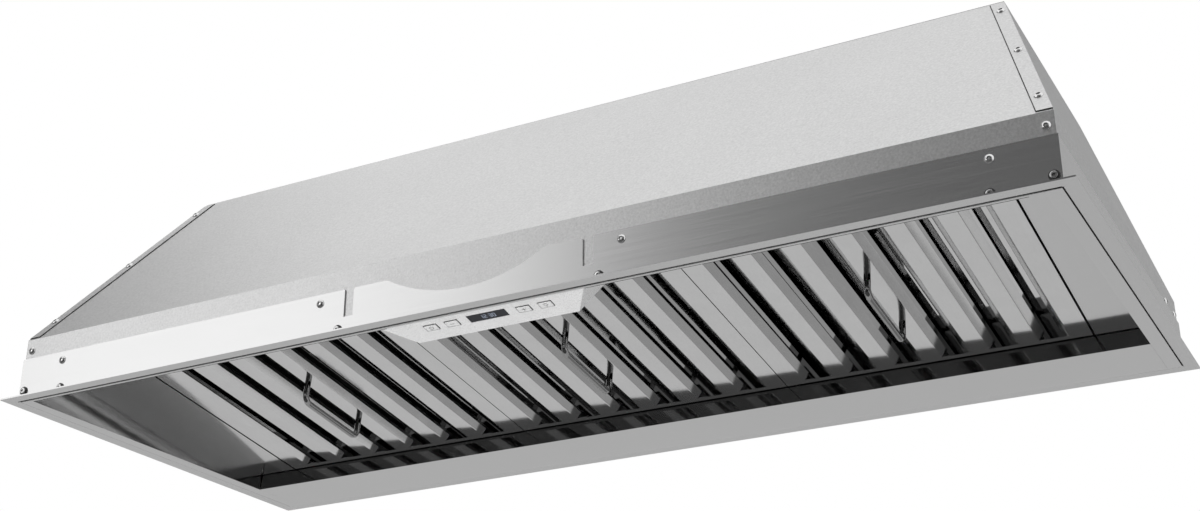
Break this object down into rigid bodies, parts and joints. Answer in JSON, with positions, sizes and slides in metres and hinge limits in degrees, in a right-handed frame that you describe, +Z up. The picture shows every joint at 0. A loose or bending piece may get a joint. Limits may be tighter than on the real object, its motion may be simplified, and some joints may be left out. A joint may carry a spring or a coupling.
{
  "type": "range hood insert",
  "caption": "Built-in range hood insert: a hip-roofed sheet metal housing with baffle filters on hinged hooks, a sloped light and control panel, a blower and a duct collar with a damper",
  "frame": {"origin": "middle of the underside of the trim flange", "axes": "+X to the right as seen from the front, +Y to the rear, +Z up"},
  "size_m": [1.178, 0.5124, 0.3355],
  "materials": {
    "zinc": "dull galvanised sheet with a fine spangle",
    "brushed_trim": "brushed stainless sheet",
    "polished_sheet": "polished stainless sheet",
    "chrome": "bright polished metal",
    "plated_steel": "dull plated metal",
    "frosted_lens": "frosted white",
    "display_glass": "smooth black",
    "silver_face": "satin silver",
    "button_silver": "silver coated",
    "black_plastic": "matt black",
    "black_rubber": "black",
    "circuit_board": "green lacquer",
    "motor_paint": "black paint",
    "capacitor_can": "light grey",
    "driver_case": "white"
  },
  "bodies": {
    "hood": {"housing_front": "zinc", "housing_left": "zinc", "housing_right": "zinc", "housing_back": "zinc", "housing_top": "zinc", "trim_front": "brushed_trim", "trim_left": "brushed_trim", "trim_right": "brushed_trim", "trim_rear": "brushed_trim", "liner_left": "brushed_trim", "liner_right": "brushed_trim", "liner_rear": "brushed_trim", "light_panel": "brushed_trim", "lamp_rings": "chrome", "lamp_lenses": "frosted_lens", "lamp_bodies": "black_plastic", "control_box": "silver_face", "display_window": "display_glass", "control_board": "circuit_board", "filter_hangers": "black_plastic", "filter_catches": "chrome", "scroll_wrap": "zinc", "scroll_sides": "zinc", "inlet_rings": "zinc", "motor": "motor_paint", "motor_bracket": "zinc", "capacitor": "capacitor_can", "junction_box": "zinc", "junction_cover": "zinc", "lamp_driver": "driver_case", "duct_collar": "zinc", "damper_rod": "chrome", "trim_screws": "chrome", "housing_screws": "chrome", "socket_screws": "chrome", "screw_washers": "black_rubber"},
    "filter_left": {"filter_left_face": "polished_sheet", "filter_left_baffles": "polished_sheet", "filter_left_frame": "polished_sheet", "filter_left_handle": "chrome", "handle_nuts_left": "plated_steel"},
    "filter_centre": {"filter_centre_face": "polished_sheet", "filter_centre_baffles": "polished_sheet", "filter_centre_frame": "polished_sheet", "filter_centre_handle": "chrome", "handle_nuts_centre": "plated_steel"},
    "filter_right": {"filter_right_face": "polished_sheet", "filter_right_baffles": "polished_sheet", "filter_right_frame": "polished_sheet", "filter_right_handle": "chrome", "handle_nuts_right": "plated_steel"},
    "button_far_left": {"button_far_left": "button_silver"},
    "button_near_left": {"button_near_left": "button_silver"},
    "button_near_right": {"button_near_right": "button_silver"},
    "button_far_right": {"button_far_right": "button_silver"},
    "blower_rotor": {"blower_wheel": "plated_steel", "motor_shaft": "plated_steel"},
    "damper_front": {"damper_flap_front": "zinc"},
    "damper_rear": {"damper_flap_rear": "zinc"}
  },
  "joints": [
    {"name": "filter_left_hinge", "type": "hinge", "parent": "hood", "child": "filter_left", "pos_m": [-0.33627, -0.13473, 0.06955], "axis": [-1, 0, 0], "range_deg": [0, 60]},
    {"name": "filter_centre_hinge", "type": "hinge", "parent": "hood", "child": "filter_centre", "pos_m": [0, -0.13473, 0.06955], "axis": [-1, 0, 0], "range_deg": [0, 60]},
    {"name": "filter_right_hinge", "type": "hinge", "parent": "hood", "child": "filter_right", "pos_m": [0.33627, -0.13473, 0.06955], "axis": [-1, 0, 0], "range_deg": [0, 60]},
    {"name": "button_far_left_press", "type": "slide", "parent": "hood", "child": "button_far_left", "axis": [0, 0.2079, 0.9781], "range_m": [0, 0.001], "stiffness_N_per_m": 300, "springref_m": -0.001},
    {"name": "button_near_left_press", "type": "slide", "parent": "hood", "child": "button_near_left", "axis": [0, 0.2079, 0.9781], "range_m": [0, 0.001], "stiffness_N_per_m": 300, "springref_m": -0.001},
    {"name": "button_near_right_press", "type": "slide", "parent": "hood", "child": "button_near_right", "axis": [0, 0.2079, 0.9781], "range_m": [0, 0.001], "stiffness_N_per_m": 300, "springref_m": -0.001},
    {"name": "button_far_right_press", "type": "slide", "parent": "hood", "child": "button_far_right", "axis": [0, 0.2079, 0.9781], "range_m": [0, 0.001], "stiffness_N_per_m": 300, "springref_m": -0.001},
    {"name": "blower_spin", "type": "hinge", "parent": "hood", "child": "blower_rotor", "pos_m": [0, 0.144, 0.17802], "axis": [1, 0, 0], "continuous": true},
    {"name": "damper_front_swing", "type": "hinge", "parent": "hood", "child": "damper_front", "pos_m": [0, 0.11, 0.3123], "axis": [-1, 0, 0], "range_deg": [0, 75]},
    {"name": "damper_rear_swing", "type": "hinge", "parent": "hood", "child": "damper_rear", "pos_m": [0, 0.11, 0.3123], "axis": [1, 0, 0], "range_deg": [0, 75]}
  ]
}
